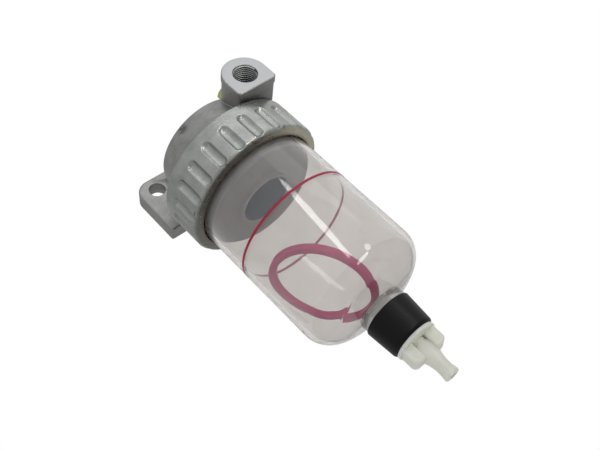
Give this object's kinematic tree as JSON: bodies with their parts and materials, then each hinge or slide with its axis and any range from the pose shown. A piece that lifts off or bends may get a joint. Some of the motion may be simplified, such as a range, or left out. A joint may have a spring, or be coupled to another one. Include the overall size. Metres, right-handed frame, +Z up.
{
  "type": "fuel water separator",
  "caption": "Wall-mounted fuel water separator with a cast head, a clear bowl under a fluted lock ring, a float and a drain cock.",
  "frame": {"origin": "on the rear face of the wall plate, midway between its two bolt holes", "axes": "+Z up along the bowl's axis, +Y into the wall, -Y the way the inlet port faces, +X to the right as seen from the front"},
  "size_m": [0.0904, 0.0975, 0.2235],
  "materials": {
    "head_casting": "as-cast, ports machined",
    "ring_casting": "as-cast, tumbled",
    "clear_bowl": "clear moulded plastic with a red level line",
    "seal_rubber": "matt black",
    "baffle_plastic": "pale translucent plastic",
    "float_plastic": "red moulded plastic",
    "collar_plastic": "satin black plastic",
    "cock_plastic": "off-white moulded plastic",
    "zinc_screw": "yellow zinc plated",
    "washer_metal": "plain"
  },
  "bodies": {
    "head": {"filter_head": "head_casting", "bowl_seal": "seal_rubber", "baffle": "baffle_plastic"},
    "bowl": {"bowl": "clear_bowl", "neck_collar": "collar_plastic"},
    "ring": {"lock_ring": "ring_casting"},
    "float": {"float_ring": "float_plastic"},
    "drain_seal": {"drain_seal": "seal_rubber"},
    "drain_cock": {"drain_cock": "cock_plastic"},
    "bleed_washer": {"bleed_washer": "washer_metal"},
    "bleed_screw": {"bleed_screw": "zinc_screw"}
  },
  "joints": [
    {"name": "bowl_drop", "type": "slide", "parent": "head", "child": "bowl", "axis": [0, 0, -1], "range_m": [0, 0.018]},
    {"name": "ring_turn", "type": "hinge", "parent": "bowl", "child": "ring", "pos_m": [0, -0.0475, -0.049], "axis": [0, 0, -1], "range_deg": [0, 2170]},
    {"name": "float_lift", "type": "slide", "parent": "bowl", "child": "float", "axis": [0, 0, 1], "range_m": [0, 0.035]},
    {"name": "cock_drop", "type": "slide", "parent": "bowl", "child": "drain_seal", "axis": [0, 0, -1], "range_m": [0, 0.0045]},
    {"name": "cock_turn", "type": "hinge", "parent": "drain_seal", "child": "drain_cock", "pos_m": [0, -0.0475, -0.195], "axis": [0, 0, -1], "range_deg": [0, 1085]},
    {"name": "bleed_rise", "type": "slide", "parent": "head", "child": "bleed_washer", "axis": [0, 0, 1], "range_m": [0, 0.002]},
    {"name": "bleed_turn", "type": "hinge", "parent": "bleed_washer", "child": "bleed_screw", "pos_m": [0.0203, -0.0698, -0.0075], "axis": [0, 0, 1], "range_deg": [0, 725]}
  ],
  "couplings": [
    {"joint": "ring_turn", "follows": "bowl_drop", "rad_per_m": 2094.4},
    {"joint": "cock_turn", "follows": "cock_drop", "rad_per_m": 4188.8},
    {"joint": "bleed_turn", "follows": "bleed_rise", "rad_per_m": 6283.2}
  ]
}
